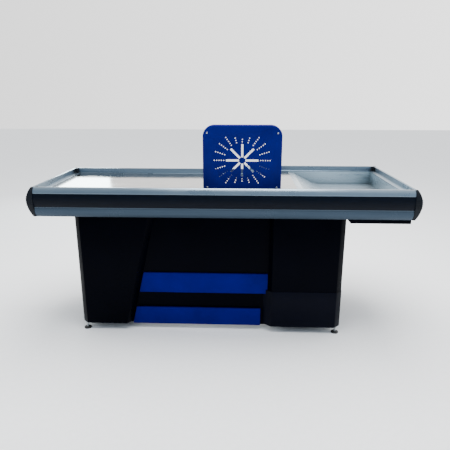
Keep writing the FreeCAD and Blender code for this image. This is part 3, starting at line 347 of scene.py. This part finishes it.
def modify(piece, kind, **settings):
    modifier = piece.modifiers.new(kind.lower(), kind)
    for name, setting in settings.items():
        setattr(modifier, name, setting)
    choose(piece)
    bpy.ops.object.modifier_apply(modifier=modifier.name)


def smooth(piece, degrees=35):
    choose(piece)
    bpy.ops.object.shade_smooth_by_angle(angle=math.radians(degrees))


def joined(pieces, name):
    clear_selection()
    for piece in pieces:
        piece.select_set(True)
    bpy.context.view_layer.objects.active = pieces[0]
    if len(pieces) > 1:
        bpy.ops.object.join()
    return name_last(name)


def copy_of(node, name):
    """Free copy of a node's mesh with its doubles merged and flat faces joined."""
    piece = NODES[node].copy()
    piece.data = NODES[node].data.copy()
    piece.parent = None
    for key in list(piece.keys()):
        del piece[key]
    piece.name = name
    bpy.context.scene.collection.objects.link(piece)
    choose(piece)
    bpy.ops.object.mode_set(mode="EDIT")
    bpy.ops.mesh.select_all(action="SELECT")
    bpy.ops.mesh.remove_doubles(threshold=0.02 * MM)
    bpy.ops.mesh.dissolve_limited(angle_limit=math.radians(0.5))
    bpy.ops.object.mode_set(mode="OBJECT")
    return piece


def node_box(node):
    """Low and high corner of a node in the frame's axes."""
    points = [NODES[node].matrix_world @ point.co for point in NODES[node].data.vertices]
    return (Vector([min(point[k] for point in points) for k in range(3)]),
            Vector([max(point[k] for point in points) for k in range(3)]))


def round_edges(piece, width, segments=2, angle=40):
    """Rounds the edges sharper than an angle in degrees, by a width in millimetres."""
    modify(piece, "BEVEL", width=width * MM, segments=segments, limit_method="ANGLE",
           angle_limit=math.radians(angle), use_clamp_overlap=True)


def softened(node, width, material):
    """Folded, moulded or machined node with its sharp edges rounded."""
    piece = copy_of(node, node + "_finished")
    round_edges(piece, width)
    smooth(piece, 30)
    stand_for(piece, node, material)


def select_parts(piece, faces=None, edges=None):
    """Selects faces or edges for which a test of the element is true; ends in edit mode."""
    choose(piece)
    bpy.ops.object.mode_set(mode="EDIT")
    bpy.ops.mesh.select_mode(type="FACE" if faces else "EDGE")
    bpy.ops.mesh.select_all(action="DESELECT")
    bpy.ops.object.mode_set(mode="OBJECT")
    if faces:
        for face in piece.data.polygons:
            face.select = faces(face)
    if edges:
        points = piece.data.vertices
        for edge in piece.data.edges:
            edge.select = edges(points[edge.vertices[0]].co, points[edge.vertices[1]].co)
    bpy.ops.object.mode_set(mode="EDIT")


def slice_at(piece, place, direction, clear=False):
    """Cuts all of a piece along a plane; clear drops what lies beyond and caps it."""
    choose(piece)
    bpy.ops.object.mode_set(mode="EDIT")
    bpy.ops.mesh.select_all(action="SELECT")
    bpy.ops.mesh.bisect(plane_co=place, plane_no=direction, use_fill=clear, clear_outer=clear)
    bpy.ops.object.mode_set(mode="OBJECT")


def carve(piece, cutters):
    """Cuts other pieces out of a piece and removes them."""
    for cutter in cutters:
        modify(piece, "BOOLEAN", operation="DIFFERENCE", object=cutter, solver="EXACT")
        bpy.data.objects.remove(cutter)


# ---- moulded corner caps ----

LOWEST_RIB = 765.5 * MM
RIB_SPACING = 11 * MM
RIB_COUNT = 5
RIB_HEIGHT = 5 * MM
RIB_RISE = 1.8 * MM
CORNER_RADIUS = 7 * MM
# depth, in from the cap's outermost point, that holds the upright edges to be rounded
CORNER_DEPTH = 33 * MM
# direction in X and Y that each cap faces
CAP_SIDES = {
    "front_left": (-1, -1), "front_right": (1, -1), "back_right": (1, 1),
    "step": (-1, 1), "back_left": (-1, 1),
}


def ribbed_cap(corner, side):
    """Corner cap with a rounded upright corner and five raised ribs across it."""
    node = "corner_cap_" + corner
    piece = copy_of(node, node + "_ribbed")
    outward = Vector((*side, 0)).normalized()
    feet = [LOWEST_RIB + k * RIB_SPACING for k in range(RIB_COUNT)]
    reach = max(outward.dot(point.co) for point in piece.data.vertices)

    def upright_corner(start, end):
        run = end - start
        depth = reach - outward.dot((start + end) / 2)
        on_mitre = abs(abs(run.x) - abs(run.y)) < 0.2 * MM
        return on_mitre and depth < CORNER_DEPTH and abs(run.z) > 0.5 * MM

    select_parts(piece, edges=upright_corner)
    bpy.ops.mesh.bevel(offset=CORNER_RADIUS, segments=4, affect="EDGES", clamp_overlap=True)
    bpy.ops.object.mode_set(mode="OBJECT")
    for foot in feet:
        for level in (foot, foot + RIB_HEIGHT):
            slice_at(piece, (0, 0, level), (0, 0, 1))

    def on_rib(face):
        level = face.center.z
        outside = face.normal.dot(outward) > 0.45
        return outside and any(foot < level < foot + RIB_HEIGHT for foot in feet)

    select_parts(piece, faces=on_rib)
    bpy.ops.mesh.extrude_region_shrink_fatten(TRANSFORM_OT_shrink_fatten={"value": RIB_RISE})
    bpy.ops.object.mode_set(mode="OBJECT")
    round_edges(piece, 0.35, 2, 50)
    smooth(piece, 35)
    stand_for(piece, node, CAP)


# ---- feet ----

THREAD_PITCH = 1.5 * MM
THREAD_DEPTH = 0.8 * MM
PAD_SIDES = 48
PAD_RIM = 6 * MM
NOTCH_EVERY = 3
# thickness and rise in millimetres of each ring of the pad's top, from the rim inwards
PAD_RINGS = ((6, 2.5), (4, 1.5), (0.8, 1.0))
COLLAR = 10.8 * MM
SOCKET_RADIUS = 5.3 * MM
SOCKET_DEPTH = 6.8 * MM


def threaded_stem(node):
    """M10 stud with its helical thread, from one turn of a vee profile."""
    low, high = node_box(node)
    centre = (low + high) / 2
    radius = (high.x - low.x) / 2
    bpy.ops.mesh.primitive_plane_add(size=1, rotation=(math.radians(90), 0, 0))
    piece = name_last(node + "_threaded")
    piece.scale = (THREAD_DEPTH, THREAD_PITCH, 1)
    settle(piece)
    select_parts(piece, edges=lambda start, end: start.x < 0 and end.x < 0)
    bpy.ops.mesh.merge(type="CENTER")
    bpy.ops.mesh.select_all(action="SELECT")
    bpy.ops.mesh.delete(type="ONLY_FACE")
    select_parts(piece, edges=lambda start, end: start.x > 0 and end.x > 0)
    bpy.ops.mesh.delete(type="EDGE")
    bpy.ops.mesh.select_all(action="SELECT")
    bpy.ops.transform.translate(value=(radius - THREAD_DEPTH / 2, 0, low.z - THREAD_PITCH))
    bpy.ops.object.mode_set(mode="OBJECT")
    turns = math.ceil((high.z - low.z) / THREAD_PITCH) + 2
    modify(piece, "SCREW", axis="Z", angle=2 * math.pi, screw_offset=THREAD_PITCH,
           iterations=turns, steps=16, render_steps=16, use_merge_vertices=True)
    choose(piece)
    bpy.ops.object.mode_set(mode="EDIT")
    bpy.ops.mesh.select_all(action="SELECT")
    bpy.ops.mesh.remove_doubles(threshold=0.005 * MM)
    bpy.ops.mesh.normals_make_consistent(inside=False)
    bpy.ops.object.mode_set(mode="OBJECT")
    slice_at(piece, (0, 0, high.z), (0, 0, 1), clear=True)
    slice_at(piece, (0, 0, low.z), (0, 0, -1), clear=True)
    piece.location = (centre.x, centre.y, 0)
    settle(piece)
    smooth(piece, 30)
    stand_for(piece, node, ZINC)


def foot_pad(node):
    """Moulded glide: grip notches round its rim, a sloped shoulder and a socket collar."""
    low, high = node_box(node)
    centre = (low + high) / 2
    radius = (high.x - low.x) / 2
    bpy.ops.mesh.primitive_cylinder_add(vertices=PAD_SIDES, radius=radius, depth=PAD_RIM,
                                        location=(centre.x, centre.y, PAD_RIM / 2))
    piece = name_last(node + "_moulded")
    settle(piece)
    select_parts(piece, faces=lambda face: face.normal.z > 0.9)
    for thickness, rise in PAD_RINGS:
        bpy.ops.mesh.inset(thickness=thickness * MM)
        bpy.ops.transform.translate(value=(0, 0, rise * MM))
    bpy.ops.mesh.inset(thickness=radius - COLLAR - SOCKET_RADIUS)
    bpy.ops.mesh.extrude_region_move(TRANSFORM_OT_translate={"value": (0, 0, -SOCKET_DEPTH)})
    side = 2 * math.pi / PAD_SIDES

    def notch(face):
        spoke = face.center - centre
        turn = math.atan2(spoke.y, spoke.x) / side
        on_rim = abs(face.normal.z) < 0.1 and face.center.z < PAD_RIM
        outer = spoke.xy.length > radius - 1 * MM
        return on_rim and outer and round(turn - 0.5) % NOTCH_EVERY == 0

    select_parts(piece, faces=notch)
    bpy.ops.mesh.inset(thickness=0.4 * MM)
    bpy.ops.transform.resize(value=(0.94, 0.94, 1),
                             center_override=(centre.x, centre.y, PAD_RIM / 2))
    bpy.ops.object.mode_set(mode="OBJECT")
    round_edges(piece, 0.4, 2, 35)
    smooth(piece, 35)
    stand_for(piece, node, RUBBER)


# ---- screws of the screen ----

HEAD_RADIUS = 4.5 * MM
HEAD_HEIGHT = 2.6 * MM
RECESS_LENGTH = 4.8 * MM
RECESS_WIDTH = 1 * MM
# the recess bars reach from beyond the head down into it
RECESS_BAR = 2.2 * MM
RECESS_MIDDLE = 3 * MM


def pan_head(x, front, z):
    """Pan head with a cross recess, its axis along Y; front is the screen's face."""
    bpy.ops.mesh.primitive_cylinder_add(vertices=32, radius=HEAD_RADIUS, depth=HEAD_HEIGHT,
                                        location=(x, front - HEAD_HEIGHT / 2, z),
                                        rotation=(math.radians(90), 0, 0))
    head = name_last("pan_head")
    settle(head)
    select_parts(head, faces=lambda face: face.normal.y < -0.9)
    bpy.ops.mesh.inset(thickness=0.9 * MM)
    bpy.ops.transform.translate(value=(0, -0.4 * MM, 0))
    bpy.ops.object.mode_set(mode="OBJECT")
    round_edges(head, 0.6, 3, 30)
    bars = []
    for width, height in ((RECESS_LENGTH, RECESS_WIDTH), (RECESS_WIDTH, RECESS_LENGTH)):
        bpy.ops.mesh.primitive_cube_add(size=1, location=(x, front - RECESS_MIDDLE, z))
        bar = name_last("recess_bar")
        bar.scale = (width, RECESS_BAR, height)
        settle(bar)
        bars.append(bar)
    carve(head, bars)
    return head


def screen_screws():
    front = node_box("screen_panel")[0].y
    low, high = node_box("screen_screws")
    heads = [pan_head(x, front, z)
             for x in (low.x + HEAD_RADIUS, high.x - HEAD_RADIUS)
             for z in (low.z + HEAD_RADIUS, high.z - HEAD_RADIUS)]
    piece = joined(heads, "screen_screws_cross_head")
    smooth(piece, 30)
    stand_for(piece, "screen_screws", ZINC)


# ---- finishes of the nodes that keep their CAD shape ----

PLAIN_FINISHES = {
    "anodised_aluminium": RAIL_X, "black_pvc": PVC, "black_moulding": CAP,
    "deck_stainless": DECK, "basin_stainless": BASIN, "black_paint": BLACK,
    "kick_paint": KICK, "blue_paint": BLUE, "screen_paint": SCREEN, "frame_paint": PRIMER,
    "zinc_steel": ZINC, "foot_rubber": RUBBER, "tray_plastic": TRAY, "handle_metal": NICKEL,
    "lock_chrome": CHROME,
}
RAILS_ALONG_Y = ("left_end_rail", "right_end_rail", "step_rail")
for node_name, node_object in NODES.items():
    finish(node_object, PLAIN_FINISHES[SLOT_OF[node_name]])


# ---- pieces that replace plain nodes ----

# node, radius in millimetres given to its sharp edges, finish
SOFTENED = [
    ("left_leg_cover", 0.7, BLACK), ("right_leg_cover", 0.7, BLACK),
    ("right_kick_plate", 0.6, KICK), ("centre_panel", 0.6, BLACK),
    ("upper_blue_band", 0.7, BLUE), ("lower_blue_band", 0.7, BLUE),
    ("basin_under_tray", 0.7, BLACK),
    ("screen_panel", 0.3, SCREEN), ("screen_stays", 0.5, BLACK),
    ("cabinet_door", 0.7, BLACK), ("cash_drawer_front", 0.7, BLACK),
    ("coin_tray", 1.2, TRAY), ("door_handle", 2.5, NICKEL),
    ("cash_drawer_lock", 0.5, CHROME), ("door_lock", 0.5, CHROME),
    ("foot_lock_nuts", 0.6, ZINC), ("foot_plates", 0.4, ZINC),
    ("inner_corner_posts", 1.5, CAP), ("door_hinge_frame_leaves", 0.3, ZINC),
    ("door_hinge_door_leaves", 0.3, ZINC), ("drawer_slide_channels", 0.5, ZINC),
    ("drawer_slide_runners", 0.5, ZINC),
]


def make_pieces():
    for node, radius, material in SOFTENED:
        softened(node, radius, material)
    for node in NODES:
        if node.endswith("_rail"):
            softened(node, 0.6, RAIL_Y if node in RAILS_ALONG_Y else RAIL_X)
        elif node.endswith("_bumper"):
            softened(node, 0.6, PVC)
        elif node.startswith("foot_stem"):
            threaded_stem(node)
        elif node.startswith("foot_pad"):
            foot_pad(node)
    for corner, side in CAP_SIDES.items():
        ribbed_cap(corner, side)
    screen_screws()


make_pieces()


# ---- studio, light and camera ----

FLOOR_SIDE = 30


def studio():
    bpy.ops.mesh.primitive_plane_add(size=FLOOR_SIDE)
    floor = name_last("studio_ground")
    settle(floor)
    finish(floor, studio_paint())
    bpy.context.scene.world = white_room()


def white_room():
    """White room, darker behind the customer and brighter towards the right."""
    world = bpy.data.worlds.new("studio")
    world.use_nodes = True
    tree = world.node_tree
    tree.nodes.clear()
    place = add(tree, "ShaderNodeTexCoord")
    split = add(tree, "ShaderNodeSeparateXYZ", links={"Vector": place.outputs["Generated"]})
    depth = spread(tree, split.outputs["Y"], 0.0, 1.0, -0.6, 0.4)
    wall = blend_colours(tree, depth, "#8d9aa8", "#ffffff")
    side = spread(tree, split.outputs["X"], 1.7, 2.5, -0.5, 0.5)
    back = add(tree, "ShaderNodeBackground", links={"Color": wall, "Strength": side})
    add(tree, "ShaderNodeOutputWorld", links={"Surface": back.outputs["Background"]})
    return world


def area_light(name, place, target, size, power, tint):
    """Soft box in a place, turned to a target; size in metres and power in watts."""
    data = bpy.data.lights.new(name, "AREA")
    data.shape = "RECTANGLE"
    data.size, data.size_y = size
    data.energy = power
    data.color = colour(tint)[:3]
    lamp = bpy.data.objects.new(name, data)
    lamp.location = place
    aim = Vector(target) - Vector(place)
    lamp.rotation_euler = aim.to_track_quat("-Z", "Y").to_euler()
    bpy.context.scene.collection.objects.link(lamp)


def lights():
    area_light("overhead", (0.2, 0.2, 3.6), (0, 0.2, 0.5), (3.6, 2.6), 260, "#ffffff")
    # lights the left end of the deck, which mirrors it to the camera
    area_light("back_window", (-2.1, 3.4, 1.5), (-0.6, 0, 0.8), (0.75, 0.9), 26, "#e8fbff")


# the view that was fitted to the counter's edges: eye height, its distance in front of the
# bumper and its offset from the middle, in metres, and the lens in millimetres
EYE_HEIGHT = 1.3401
EYE_DISTANCE = 2.328
EYE_OFFSET = 0.1156
LOOK_DOWN = 16.04
LOOK_LEFT = 2.34
LENS = 36.8


def camera():
    """Eye-level view from the customer's side, a little right of the middle."""
    data = bpy.data.cameras.new("front_view")
    data.sensor_width = 36.0
    data.lens = LENS
    view = bpy.data.objects.new("front_view", data)
    view.location = (EYE_OFFSET, cad_box[0][1] - EYE_DISTANCE, EYE_HEIGHT)
    view.rotation_euler = (math.radians(90 - LOOK_DOWN), 0, math.radians(LOOK_LEFT))
    bpy.context.scene.collection.objects.link(view)
    bpy.context.scene.camera = view


studio()
lights()
camera()
